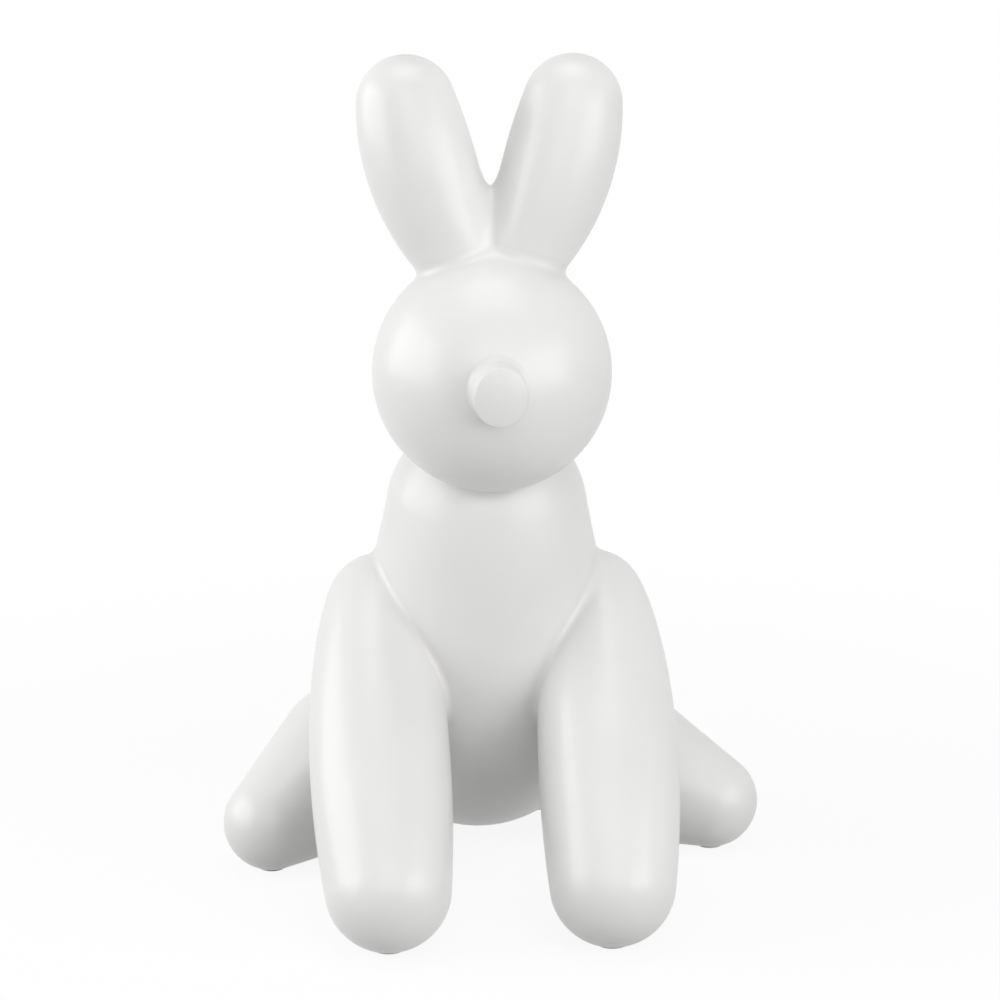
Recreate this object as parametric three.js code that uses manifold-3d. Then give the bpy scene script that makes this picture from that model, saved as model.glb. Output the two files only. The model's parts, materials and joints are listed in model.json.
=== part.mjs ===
// Sitting balloon animal ornament: hollow cast body and head, with solid cast limbs pinned and glued on.
// Units are millimetres, +Z is up and the animal faces -Y, so its left is +X.
// The origin is at the middle of the footprint, on the surface that the ornament stands on.

import * as THREE from 'three';
import { mergeVertices } from 'three/addons/utils/BufferGeometryUtils.js';
import Module from 'manifold-3d';

const wasm = await Module();
wasm.setup();

// Castings and fits
const WALL = 6;
const GLUE_GAP = 0.3;
const PIN_CLEARANCE = 0.25;
const SOCKET_END_CLEARANCE = 0.4;
const BOSS_WALL = 4;
const BOSS_FLOOR = 3;
const PIN_CHAMFER = 0.6;

// Torso: an egg on a bent centre line, from the neck end to the rump
const TORSO_TOP_Y = 73;
const TORSO_TOP_Z = 134.5;
const TORSO_BEND_Y = 78.5;
const TORSO_BEND_Z = 68.3;
const TORSO_RUMP_Y = 140;
const TORSO_TOP_RADIUS = 35.2;
const TORSO_CHEST_RADIUS = 43.3;
const TORSO_BELLY_RADIUS = 47.3;
const TORSO_RUMP_RADIUS = 38;

// Head, sunk a little into the torso's neck end
const HEAD_RADIUS = 40.6;
const NECK_LEAN = 27.8;
const NECK_SINK = 13.3;
const NECK_TUBE_RADIUS = 8;
const NECK_TUBE_BORE_RADIUS = 5.5;
const NECK_TUBE_REACH = 18;
const NECK_BOSS_DEPTH = 12;

// Nose: a short oval stub with a domed end, set by hand a little off the line from the middle of the head
const NOSE_HALF_WIDTH = 8.9;
const NOSE_HALF_HEIGHT = 10.15;
const NOSE_LENGTH = 8;
const NOSE_RIM = 0.7;
const NOSE_CROWN = 1.5;
const NOSE_SEAT_TURN = -0.9;
const NOSE_SEAT_RISE = 2.5;
const NOSE_TURN = 3.3;
const NOSE_RISE = -3;
const NOSE_PIN_RADIUS = 2;
const NOSE_PIN_COVER = 3;
const NOSE_PIN_DEPTH = 9;

// Ears: long lobes that point away from the middle of the head
const EAR_SPLAY = 17.3;
const EAR_TILT_BACK = 8;
const EAR_LENGTH = 50;
const EAR_SINK = 10.4;
const EAR_BOW = 3;
const EAR_BASE_RADIUS = 14.2;
const EAR_MIDDLE_RADIUS = 18.7;
const EAR_TIP_RADIUS = 16.8;
const EAR_PIN_RADIUS = 3;
const EAR_PIN_REACH = 20;
const EAR_PIN_DEPTH = 13;

// Front legs: bent lobes from the floor to the shoulders
const FRONT_FOOT_X = 38;
const FRONT_FOOT_RADIUS = 21.5;
const FRONT_LEG_MIDDLE_RADIUS = 24.1;
const SHOULDER_RADIUS = 18.7;
const FRONT_BEND_X = 41.3;
const FRONT_BEND_Y = 60.5;
const FRONT_BEND_Z = 87.4;
const SHOULDER_STATION = 0.26;
const SHOULDER_FORWARD = 5.95;
const SHOULDER_DROP = 5.55;
const SHOULDER_SINK = 22.4;

// Hind legs: straight lobes splayed out from the rump, with the feet set by hand a little differently
const HIND_FOOT_LEFT_X = 83.5;
const HIND_FOOT_LEFT_Y = 98;
const HIND_FOOT_RIGHT_X = 76.8;
const HIND_FOOT_RIGHT_Y = 84;
const HIND_FOOT_RADIUS = 17.2;
const HIP_RADIUS = 29.8;
const HIP_STATION = 0.8;
const HIP_FORWARD = 4.9;
const HIP_DROP = 24.5;
const HIP_SINK = 24.9;

// Pins that hold the legs
const LEG_PIN_RADIUS = 4;
const LEG_PIN_DEPTH = 16;
const LEG_PIN_COVER = 5.4;

// Tail: a short bulb on the back
const TAIL_STATION = 0.82;
const TAIL_RISE = 25;
const TAIL_BASE_RADIUS = 8;
const TAIL_TIP_RADIUS = 10.5;
const TAIL_LENGTH = 12;
const TAIL_SINK = 5;
const TAIL_PIN_RADIUS = 2.5;
const TAIL_PIN_REACH = 12;
const TAIL_PIN_DEPTH = 12;

// Rests: felt pads on ground flats, and the casting vent with its plug above the rump pad
const PAD_THICKNESS = 0.5;
const PAD_INSET = 0.6;
const PAD_CHAMFER = 0.2;
const VENT_RADIUS = 5;
const VENT_PLUG_LENGTH = 11;
const VENT_PLUG_CLEARANCE = 0.3;

// Fineness of the facets
const LOBE_SIDES = 20;
const LOBE_RINGS = 6;
const CAP_RINGS = 4;
const TORSO_SIDES = 24;
const TORSO_RINGS = 8;
const HEAD_SIDES = 24;
const HEAD_RINGS = 14;
const CAVITY_SIDES = 14;
const CAVITY_RINGS = 6;
const PIN_SIDES = 12;
const PAD_SIDES = 24;
const RIM_STEPS = 2;
const CROWN_STEPS = 4;

const SIDES = { left: 1, right: -1 };
const AXIS = new THREE.Vector3(0, 1, 0);
const radians = THREE.MathUtils.degToRad;
const point = (x, y, z) => new THREE.Vector3(x, y, z);

// Solids from geometries, and geometries from solids
function solidOf(geometry) {
  const bare = geometry.clone();
  bare.deleteAttribute('normal');
  bare.deleteAttribute('uv');
  const closeEnough = 1e-4;
  const merged = mergeVertices(bare, closeEnough);
  const index = merged.index.array;
  const triangles = [];
  for (let i = 0; i < index.length; i += 3) {
    const [a, b, c] = [index[i], index[i + 1], index[i + 2]];
    if (a !== b && b !== c && c !== a) triangles.push(a, b, c);
  }
  return new wasm.Manifold(new wasm.Mesh({
    numProp: 3,
    vertProperties: new Float32Array(merged.attributes.position.array),
    triVerts: new Uint32Array(triangles),
  }));
}

function geometryOf(solid) {
  const mesh = solid.getMesh();
  const geometry = new THREE.BufferGeometry();
  geometry.setAttribute('position', new THREE.BufferAttribute(mesh.vertProperties, 3));
  geometry.setIndex(new THREE.BufferAttribute(mesh.triVerts, 1));
  geometry.computeVertexNormals();
  return geometry;
}

// A smooth radius that passes through values spread evenly from one end to the other
function radiusThrough(values) {
  const last = values.length - 1;
  return (share) => values.reduce((sum, value, i) => {
    let weight = 1;
    for (let j = 0; j <= last; j += 1) {
      if (j !== i) weight *= (share * last - j) / (i - j);
    }
    return sum + value * weight;
  }, 0);
}

// Outline of a ball that slides along a line while its radius changes, from pole to pole
function lobeOutline(length, radiusAt, rings) {
  const step = 1e-3;
  const slopeAt = (share) => {
    const from = Math.max(share - step, 0);
    const to = Math.min(share + step, 1);
    return (radiusAt(to) - radiusAt(from)) / ((to - from) * length);
  };
  const outline = [];
  const add = (share, lean) => {
    const radius = radiusAt(share);
    const out = Math.max(radius * Math.cos(lean), 0);
    outline.push(new THREE.Vector2(out, share * length + radius * Math.sin(lean)));
  };
  const firstLean = Math.asin(-slopeAt(0));
  const lastLean = Math.asin(-slopeAt(1));
  for (let i = 0; i < CAP_RINGS; i += 1) add(0, THREE.MathUtils.lerp(-Math.PI / 2, firstLean, i / CAP_RINGS));
  for (let i = 0; i <= rings; i += 1) add(i / rings, Math.asin(-slopeAt(i / rings)));
  for (let i = 1; i <= CAP_RINGS; i += 1) add(1, THREE.MathUtils.lerp(lastLean, Math.PI / 2, i / CAP_RINGS));
  outline[0].x = 0;
  outline[outline.length - 1].x = 0;
  return outline;
}

// Lays a lathe's axis along a curve, and runs straight on past both of its ends
function bendAlong(geometry, curve) {
  const length = curve.getLength();
  const positions = geometry.attributes.position;
  const turn = new THREE.Quaternion();
  const place = new THREE.Vector3();
  for (let i = 0; i < positions.count; i += 1) {
    const along = positions.getY(i);
    const share = THREE.MathUtils.clamp(along / length, 0, 1);
    const tangent = curve.getTangentAt(share);
    turn.setFromUnitVectors(AXIS, tangent);
    place.set(positions.getX(i), 0, positions.getZ(i)).applyQuaternion(turn);
    place.add(curve.getPointAt(share)).addScaledVector(tangent, along - share * length);
    positions.setXYZ(i, place.x, place.y, place.z);
  }
  return geometry;
}

// A lobe knows its centre line and its radius, and can be made thicker or thinner all over
function lobe(start, bend, end, radii) {
  const curve = new THREE.QuadraticBezierCurve3(start, bend, end);
  const lengthSteps = 400;
  curve.arcLengthDivisions = lengthSteps;
  const radiusAt = radiusThrough(radii);
  const solid = (grow = 0, sides = LOBE_SIDES, rings = LOBE_RINGS) => {
    const outline = lobeOutline(curve.getLength(), (share) => radiusAt(share) + grow, rings);
    return solidOf(bendAlong(new THREE.LatheGeometry(outline, sides), curve));
  };
  return { start, end, radiusAt, pointAt: (share) => curve.getPointAt(share), solid };
}

// Turned pieces, made along the lathe axis and then stood on a point in a direction
function turned(outline, sides) {
  return new THREE.LatheGeometry(outline.map(([out, along]) => new THREE.Vector2(out, along)), sides);
}

function standing(geometry, foot, direction) {
  const turn = new THREE.Quaternion().setFromUnitVectors(AXIS, direction);
  return geometry.clone().applyQuaternion(turn).translate(foot.x, foot.y, foot.z);
}

function rod(radius, from, to, chamfer = 0) {
  return turned([[0, from], [radius - chamfer, from], [radius, from + chamfer],
    [radius, to - chamfer], [radius - chamfer, to], [0, to]], PIN_SIDES);
}

// A pinned joint: where the pin crosses the larger casting's surface, and how far it goes each way
function pinnedJoint(seat, direction, radius, depth, reach) {
  return {
    seat,
    direction,
    pin: () => rod(radius, -depth, reach, PIN_CHAMFER),
    socket: () => solidOf(standing(
      rod(radius + PIN_CLEARANCE, -depth - SOCKET_END_CLEARANCE, reach + SOCKET_END_CLEARANCE),
      seat, direction,
    )),
    boss: () => solidOf(standing(
      rod(radius + BOSS_WALL, -depth - SOCKET_END_CLEARANCE - BOSS_FLOOR, WALL),
      seat, direction,
    )),
  };
}

// Torso and the places on it
const torsoLobe = lobe(
  point(0, TORSO_TOP_Y, TORSO_TOP_Z),
  point(0, TORSO_BEND_Y, TORSO_BEND_Z),
  point(0, TORSO_RUMP_Y, TORSO_RUMP_RADIUS),
  [TORSO_TOP_RADIUS, TORSO_CHEST_RADIUS, TORSO_BELLY_RADIUS, TORSO_RUMP_RADIUS],
);

function onTorso(station, direction, limbRadius, sink) {
  const middle = torsoLobe.pointAt(station);
  const radius = torsoLobe.radiusAt(station);
  return {
    seat: middle.clone().addScaledVector(direction, radius),
    end: middle.clone().addScaledVector(direction, radius + limbRadius - sink),
    thickness: 2 * limbRadius - sink,
  };
}

function sideways(side, forward, drop) {
  const level = Math.cos(radians(drop));
  const across = level * Math.cos(radians(forward));
  return point(side * across, -level * Math.sin(radians(forward)), -Math.sin(radians(drop)));
}

// Head and the places on it
const neckDirection = point(0, -Math.sin(radians(NECK_LEAN)), Math.cos(radians(NECK_LEAN)));
const neckSeat = torsoLobe.start.clone().addScaledVector(neckDirection, TORSO_TOP_RADIUS);
const headMiddle = neckSeat.clone().addScaledVector(neckDirection, HEAD_RADIUS - NECK_SINK);

function headBall(radius, sides, rings) {
  const ball = new THREE.SphereGeometry(radius, sides, rings);
  return solidOf(ball.translate(headMiddle.x, headMiddle.y, headMiddle.z));
}

// Forwards, turned towards the animal's left and raised
function forwards(turn, rise) {
  const level = Math.cos(radians(rise));
  return point(level * Math.sin(radians(turn)), -level * Math.cos(radians(turn)), Math.sin(radians(rise)));
}

const noseJoint = pinnedJoint(
  headMiddle.clone().addScaledVector(forwards(NOSE_SEAT_TURN, NOSE_SEAT_RISE), HEAD_RADIUS),
  forwards(NOSE_TURN, NOSE_RISE), NOSE_PIN_RADIUS, NOSE_PIN_DEPTH, NOSE_LENGTH - NOSE_PIN_COVER,
);

function makeEar(side) {
  const up = Math.cos(radians(EAR_SPLAY));
  const direction = point(
    side * Math.sin(radians(EAR_SPLAY)),
    up * Math.sin(radians(EAR_TILT_BACK)),
    up * Math.cos(radians(EAR_TILT_BACK)),
  );
  const base = headMiddle.clone().addScaledVector(direction, HEAD_RADIUS + EAR_BASE_RADIUS - EAR_SINK);
  const tip = base.clone().addScaledVector(direction, EAR_LENGTH);
  const bend = base.clone().lerp(tip, 0.5);
  bend.x += side * EAR_BOW;
  return {
    lobe: lobe(base, bend, tip, [EAR_BASE_RADIUS, EAR_MIDDLE_RADIUS, EAR_TIP_RADIUS]),
    joint: pinnedJoint(headMiddle.clone().addScaledVector(direction, HEAD_RADIUS),
      direction, EAR_PIN_RADIUS, EAR_PIN_DEPTH, EAR_PIN_REACH),
  };
}

function makeFrontLeg(side) {
  const direction = sideways(side, SHOULDER_FORWARD, SHOULDER_DROP);
  const { seat, end, thickness } = onTorso(SHOULDER_STATION, direction, SHOULDER_RADIUS, SHOULDER_SINK);
  return {
    lobe: lobe(
      point(side * FRONT_FOOT_X, 0, FRONT_FOOT_RADIUS),
      point(side * FRONT_BEND_X, FRONT_BEND_Y, FRONT_BEND_Z),
      end, [FRONT_FOOT_RADIUS, FRONT_LEG_MIDDLE_RADIUS, SHOULDER_RADIUS],
    ),
    joint: pinnedJoint(seat, direction, LEG_PIN_RADIUS, LEG_PIN_DEPTH, thickness - LEG_PIN_COVER),
  };
}

function makeHindLeg(side, footX, footY) {
  const direction = sideways(side, HIP_FORWARD, HIP_DROP);
  const { seat, end, thickness } = onTorso(HIP_STATION, direction, HIP_RADIUS, HIP_SINK);
  const foot = point(side * footX, footY, HIND_FOOT_RADIUS);
  return {
    lobe: lobe(foot, foot.clone().lerp(end, 0.5), end, [HIND_FOOT_RADIUS, HIP_RADIUS]),
    joint: pinnedJoint(seat, direction, LEG_PIN_RADIUS, LEG_PIN_DEPTH, thickness - LEG_PIN_COVER),
  };
}

function makeTail() {
  const direction = point(0, Math.cos(radians(TAIL_RISE)), Math.sin(radians(TAIL_RISE)));
  const { seat, end } = onTorso(TAIL_STATION, direction, TAIL_BASE_RADIUS, TAIL_SINK);
  const tip = end.clone().addScaledVector(direction, TAIL_LENGTH);
  return {
    lobe: lobe(end, end.clone().lerp(tip, 0.5), tip, [TAIL_BASE_RADIUS, TAIL_TIP_RADIUS]),
    joint: pinnedJoint(seat, direction, TAIL_PIN_RADIUS, TAIL_PIN_DEPTH, TAIL_PIN_REACH),
  };
}

const ears = { left: makeEar(SIDES.left), right: makeEar(SIDES.right) };
const frontLegs = { left: makeFrontLeg(SIDES.left), right: makeFrontLeg(SIDES.right) };
const hindLegs = {
  left: makeHindLeg(SIDES.left, HIND_FOOT_LEFT_X, HIND_FOOT_LEFT_Y),
  right: makeHindLeg(SIDES.right, HIND_FOOT_RIGHT_X, HIND_FOOT_RIGHT_Y),
};
const tail = makeTail();

// Neck: a tube through both walls, open into both hollows
const neckHoleRadius = NECK_TUBE_RADIUS + PIN_CLEARANCE;
const neckHole = solidOf(standing(
  rod(neckHoleRadius, -NECK_TUBE_REACH - WALL, NECK_TUBE_REACH + WALL), neckSeat, neckDirection));
const neckBoss = (from, to) => solidOf(standing(
  rod(NECK_TUBE_RADIUS + BOSS_WALL, from, to), neckSeat, neckDirection));

// A block that reaches past every lobe, for plane cuts
const blockSize = 8 * TORSO_TOP_Z;
const block = () => new THREE.BoxGeometry(blockSize, blockSize, blockSize);

// Ground flat under a foot: everything below the pad and its glue is cut away
const flatHeight = PAD_THICKNESS + GLUE_GAP;
const ground = solidOf(block().translate(0, 0, flatHeight - blockSize / 2));
const flatRadius = (footRadius) => Math.sqrt(footRadius ** 2 - (footRadius - flatHeight) ** 2);

// Castings
function makeTorso() {
  let hollow = torsoLobe.solid(-WALL, CAVITY_SIDES, CAVITY_RINGS);
  const limbs = [frontLegs.left, frontLegs.right, hindLegs.left, hindLegs.right, tail];
  const joints = limbs.map((limb) => limb.joint);
  for (const joint of joints) hollow = hollow.subtract(joint.boss());
  hollow = hollow.subtract(neckBoss(-NECK_BOSS_DEPTH, 0));
  let casting = torsoLobe.solid(0, TORSO_SIDES, TORSO_RINGS)
    .subtract(hollow)
    .subtract(neckHole)
    .subtract(ground);
  for (const joint of joints) casting = casting.subtract(joint.socket());
  const vent = rod(VENT_RADIUS, 0, VENT_PLUG_LENGTH + WALL);
  return casting.subtract(solidOf(standing(vent, point(0, TORSO_RUMP_Y, 0), point(0, 0, 1))));
}

function makeHead() {
  const joints = [noseJoint, ears.left.joint, ears.right.joint];
  let hollow = headBall(HEAD_RADIUS - WALL, CAVITY_SIDES, CAVITY_RINGS)
    .subtract(torsoLobe.solid(GLUE_GAP + WALL));
  for (const joint of joints) hollow = hollow.subtract(joint.boss());
  hollow = hollow.subtract(neckBoss(0, NECK_BOSS_DEPTH));
  let casting = headBall(HEAD_RADIUS, HEAD_SIDES, HEAD_RINGS).subtract(hollow).subtract(neckHole);
  for (const joint of joints) casting = casting.subtract(joint.socket());
  return casting.subtract(torsoLobe.solid(GLUE_GAP, TORSO_SIDES, TORSO_RINGS));
}

function makeNose() {
  const domeRadius = NOSE_HALF_WIDTH - NOSE_RIM;
  const rim = new THREE.Path();
  rim.absarc(domeRadius, NOSE_LENGTH - NOSE_RIM, NOSE_RIM, 0, Math.PI / 2);
  const outline = [[0, -WALL], [NOSE_HALF_WIDTH, -WALL],
    ...rim.getPoints(RIM_STEPS).map((corner) => [corner.x, corner.y])];
  for (let i = CROWN_STEPS - 1; i >= 0; i -= 1) {
    const share = i / CROWN_STEPS;
    outline.push([domeRadius * share, NOSE_LENGTH + NOSE_CROWN * (1 - share ** 2)]);
  }
  const { seat } = noseJoint;
  const stub = turned(outline, LOBE_SIDES)
    .scale(1, 1, NOSE_HALF_HEIGHT / NOSE_HALF_WIDTH)
    .rotateX(Math.PI - radians(NOSE_RISE))
    .rotateZ(radians(NOSE_TURN))
    .translate(seat.x, seat.y, seat.z);
  return solidOf(stub)
    .subtract(headBall(HEAD_RADIUS + GLUE_GAP, HEAD_SIDES, HEAD_RINGS))
    .subtract(noseJoint.socket());
}

function makeEarCasting(ear, side) {
  const otherSide = block().translate(side * (GLUE_GAP - blockSize) / 2, 0, 0);
  return ear.lobe.solid()
    .subtract(solidOf(otherSide))
    .subtract(headBall(HEAD_RADIUS + GLUE_GAP, HEAD_SIDES, HEAD_RINGS))
    .subtract(ear.joint.socket());
}

function makeLimbCasting(limb) {
  return limb.lobe.solid()
    .subtract(torsoLobe.solid(GLUE_GAP, TORSO_SIDES, TORSO_RINGS))
    .subtract(ground)
    .subtract(limb.joint.socket());
}

// Materials
const lacquer = () => new THREE.MeshStandardMaterial({ color: 0xf2f1ee, roughness: 0.18, metalness: 0 });
const steel = () => new THREE.MeshStandardMaterial({ color: 0x9a9c9e, roughness: 0.35, metalness: 1 });
const felt = () => new THREE.MeshStandardMaterial({ color: 0xdedbd4, roughness: 0.95, metalness: 0 });
const rubber = () => new THREE.MeshStandardMaterial({ color: 0xcfcdc8, roughness: 0.7, metalness: 0 });

// Assembly
const figure = new THREE.Group();

function addMesh(name, geometry, material) {
  const mesh = new THREE.Mesh(geometry, material);
  mesh.name = name;
  figure.add(mesh);
  return mesh;
}

function addStanding(name, geometry, material, foot, direction) {
  const mesh = addMesh(name, geometry, material);
  mesh.position.copy(foot);
  mesh.quaternion.setFromUnitVectors(AXIS, direction);
}

function addPin(name, joint) {
  addStanding(name, joint.pin(), steel(), joint.seat, joint.direction);
}

function addPad(name, footRadius, x, y) {
  const radius = flatRadius(footRadius) - PAD_INSET;
  const disc = turned([[0, 0], [radius - PAD_CHAMFER, 0], [radius, PAD_CHAMFER],
    [radius, PAD_THICKNESS], [0, PAD_THICKNESS]], PAD_SIDES);
  addStanding(name, disc, felt(), point(x, y, 0), point(0, 0, 1));
}

addMesh('torso', geometryOf(makeTorso()), lacquer());
addMesh('head', geometryOf(makeHead()), lacquer());
addMesh('nose', geometryOf(makeNose()), lacquer());
addMesh('tail', geometryOf(makeLimbCasting(tail)), lacquer());
for (const [name, side] of Object.entries(SIDES)) {
  addMesh(`ear_${name}`, geometryOf(makeEarCasting(ears[name], side)), lacquer());
  addMesh(`front_leg_${name}`, geometryOf(makeLimbCasting(frontLegs[name])), lacquer());
  addMesh(`hind_leg_${name}`, geometryOf(makeLimbCasting(hindLegs[name])), lacquer());
  addPin(`ear_pin_${name}`, ears[name].joint);
  addPin(`front_leg_pin_${name}`, frontLegs[name].joint);
  addPin(`hind_leg_pin_${name}`, hindLegs[name].joint);
  const { start: front } = frontLegs[name].lobe;
  addPad(`foot_pad_front_${name}`, FRONT_FOOT_RADIUS, front.x, front.y);
  const { start: hind } = hindLegs[name].lobe;
  addPad(`foot_pad_hind_${name}`, HIND_FOOT_RADIUS, hind.x, hind.y);
}
addPin('nose_pin', noseJoint);
addPin('tail_pin', tail.joint);
addPad('rump_pad', TORSO_RUMP_RADIUS, 0, TORSO_RUMP_Y);

const neckTube = turned([[NECK_TUBE_BORE_RADIUS, -NECK_TUBE_REACH], [NECK_TUBE_RADIUS, -NECK_TUBE_REACH],
  [NECK_TUBE_RADIUS, NECK_TUBE_REACH], [NECK_TUBE_BORE_RADIUS, NECK_TUBE_REACH],
  [NECK_TUBE_BORE_RADIUS, -NECK_TUBE_REACH]], PIN_SIDES);
addStanding('neck_tube', neckTube, steel(), neckSeat, neckDirection);

const ventPlug = rod(VENT_RADIUS - VENT_PLUG_CLEARANCE, 0, VENT_PLUG_LENGTH, PIN_CHAMFER);
addStanding('vent_plug', ventPlug, rubber(), point(0, TORSO_RUMP_Y, flatHeight), point(0, 0, 1));

// The origin goes to the middle of the footprint
figure.updateMatrixWorld(true);
const box = new THREE.Box3().setFromObject(figure, true);
const middle = box.getCenter(new THREE.Vector3());
figure.position.set(-middle.x, -middle.y, -box.min.z);

export default figure;
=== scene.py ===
"""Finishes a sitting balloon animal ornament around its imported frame, as a Blender add-on's script."""

import json
import math

import bmesh
import bpy
import numpy as np
from bpy.props import FloatProperty, FloatVectorProperty, PointerProperty
from mathutils import Euler, Matrix, Vector


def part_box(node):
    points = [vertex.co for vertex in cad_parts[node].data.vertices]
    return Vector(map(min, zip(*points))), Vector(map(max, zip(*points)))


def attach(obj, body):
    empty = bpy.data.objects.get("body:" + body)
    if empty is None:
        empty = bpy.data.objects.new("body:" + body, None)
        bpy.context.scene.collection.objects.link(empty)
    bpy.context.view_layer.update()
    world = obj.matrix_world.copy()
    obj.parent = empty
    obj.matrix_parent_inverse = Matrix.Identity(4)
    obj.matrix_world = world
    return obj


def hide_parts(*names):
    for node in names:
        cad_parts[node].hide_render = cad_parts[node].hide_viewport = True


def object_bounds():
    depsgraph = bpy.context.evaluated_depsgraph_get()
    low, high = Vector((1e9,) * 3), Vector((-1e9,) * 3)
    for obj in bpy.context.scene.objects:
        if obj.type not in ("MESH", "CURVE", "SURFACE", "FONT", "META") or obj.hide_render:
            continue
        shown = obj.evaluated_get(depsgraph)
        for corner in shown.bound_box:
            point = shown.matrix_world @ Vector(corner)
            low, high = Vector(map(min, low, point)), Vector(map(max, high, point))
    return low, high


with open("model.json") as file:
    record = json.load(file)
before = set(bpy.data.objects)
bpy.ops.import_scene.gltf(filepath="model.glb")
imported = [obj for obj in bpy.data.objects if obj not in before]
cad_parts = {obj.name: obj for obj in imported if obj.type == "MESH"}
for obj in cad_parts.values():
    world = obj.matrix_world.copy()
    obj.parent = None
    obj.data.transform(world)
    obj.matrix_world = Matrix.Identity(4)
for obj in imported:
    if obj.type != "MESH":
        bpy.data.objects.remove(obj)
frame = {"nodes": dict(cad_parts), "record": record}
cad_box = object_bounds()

bl_info = {
    "name": "Balloon Animal Ornament",
    "version": (1, 0, 0),
    "blender": (4, 5, 0),
    "location": "3D View > Sidebar > Ornament",
    "description": "Makes the lacquered castings, felt pads and studio of a balloon animal ornament",
    "category": "Object",
}

# The animal's own sides: its left is +X
SIDES = {"left": 1, "right": -1}

# Distances between a mesh's points, on large and small pieces, and the distance at which two are merged
SPACING = 0.0012
FINE_SPACING = 0.0004
MERGE_DISTANCE = SPACING / 1000

# Points of a felt pad's rim in the length of its radius
PAD_RIM_STEPS = 4

# Steps along a lobe's line, and rounds that settle a point on a surface
LINE_STEPS = 120
SETTLE_ROUNDS = 3

# Keeps a divisor from being zero
TINY = 1e-9

# Faces that meet at more than this show an edge
SHARP_ANGLE = math.radians(40)

# Points across a fillet's size and strips across a web
FILLET_STEPS = 8
WEB_STRIPS = 3

# Hem of a fillet: how many times its size it runs under the neighbour, and how deep
HEM_LAP = 1.4
HEM_DEPTH = 0.000012

# Rounds that lay a fillet, and the least squared sine between two surfaces that its steps allow for
FILLET_ROUNDS = 8
LEAST_SPREAD = 0.03

# How far a casting's seat lies under the surface that it is glued to
SEAT_DEPTH = 0.0003

# How far the nose goes into the head past its hem, as a share of its half height
NOSE_ROOT_SHARE = 0.25

# Studio
FLOOR_HALF_SIDE = 6
SOFTBOX_DISTANCE = 1.2
SENSOR_WIDTH = 36
CAMERA_REACH = 20


# Sizes and colours


def length(name, description, default):
    return FloatProperty(name=name, description=description, default=default, precision=4, unit="LENGTH")


def angle(name, description, degrees):
    return FloatProperty(name=name, description=description, default=math.radians(degrees), subtype="ANGLE")


def share(name, description, default):
    return FloatProperty(
        name=name, description=description, default=default, min=0, max=1, subtype="FACTOR"
    )


def strength(name, description, default):
    return FloatProperty(name=name, description=description, default=default, min=0)


def radii(name, description, default):
    return FloatVectorProperty(
        name=name, description=description, default=default, size=len(default), precision=4, unit="LENGTH"
    )


def spot(name, description, default):
    return FloatVectorProperty(
        name=name,
        description=description,
        default=default,
        precision=4,
        subtype="TRANSLATION",
        unit="LENGTH",
    )


def colour(name, description, default):
    return FloatVectorProperty(
        name=name, description=description, default=default, min=0, max=1, subtype="COLOR"
    )


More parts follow.
